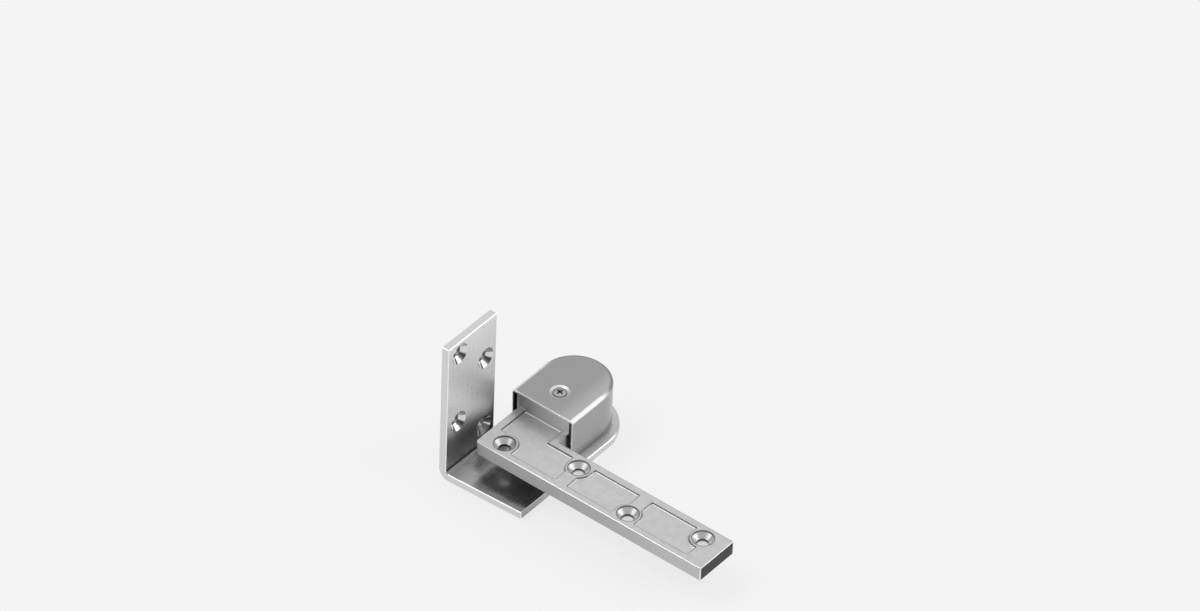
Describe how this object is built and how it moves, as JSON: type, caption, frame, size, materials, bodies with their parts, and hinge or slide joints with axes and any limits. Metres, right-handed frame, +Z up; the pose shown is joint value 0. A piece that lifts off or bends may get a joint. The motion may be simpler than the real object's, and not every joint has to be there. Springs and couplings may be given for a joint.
{
  "type": "offset pivot hinge",
  "caption": "Bottom offset pivot hinge: bent floor bracket with jamb leg, cast door arm turning on a spindle under a pressed cover.",
  "frame": {"origin": "on the pivot axis, at the underside of the floor plate", "axes": "+Z up the pivot axis, +X along the closed arm to its free end, +Y from the door towards the rounded end of the plate"},
  "size_m": [0.1665, 0.102, 0.092],
  "materials": {
    "brushed_plate": "brushed stainless steel plate",
    "cast_stainless": "fine blasted cast stainless steel",
    "brushed_cover": "satin brushed stainless sheet",
    "turned_steel": "bright turned stainless steel",
    "bearing_steel": "ground and polished bearing steel",
    "cage_brass": "pressed brass",
    "bush_bronze": "sintered bronze",
    "spring_steel": "phosphated spring steel"
  },
  "bodies": {
    "bracket": {"floor_bracket": "brushed_plate", "pivot_spindle": "turned_steel", "lower_race": "bearing_steel", "retaining_washer": "turned_steel", "retaining_ring": "spring_steel"},
    "arm": {"door_arm": "cast_stainless", "upper_race": "bearing_steel", "lower_bush": "bush_bronze", "upper_bush": "bush_bronze", "cover": "brushed_cover", "cover_screw": "turned_steel"},
    "ball_set": {"ball_cage": "cage_brass", "thrust_ball_01": "bearing_steel", "thrust_ball_02": "bearing_steel", "thrust_ball_03": "bearing_steel", "thrust_ball_04": "bearing_steel", "thrust_ball_05": "bearing_steel", "thrust_ball_06": "bearing_steel", "thrust_ball_07": "bearing_steel", "thrust_ball_08": "bearing_steel", "thrust_ball_09": "bearing_steel", "thrust_ball_10": "bearing_steel"}
  },
  "joints": [
    {"name": "arm_swing", "type": "hinge", "parent": "bracket", "child": "arm", "pos_m": [0, 0, 0], "axis": [0, 0, 1], "range_deg": [0, 180]},
    {"name": "ball_set_turn", "type": "hinge", "parent": "bracket", "child": "ball_set", "pos_m": [0, 0, 0.0108], "axis": [0, 0, 1], "range_deg": [0, 90]}
  ],
  "couplings": [
    {"joint": "ball_set_turn", "follows": "arm_swing", "ratio": 0.5}
  ]
}
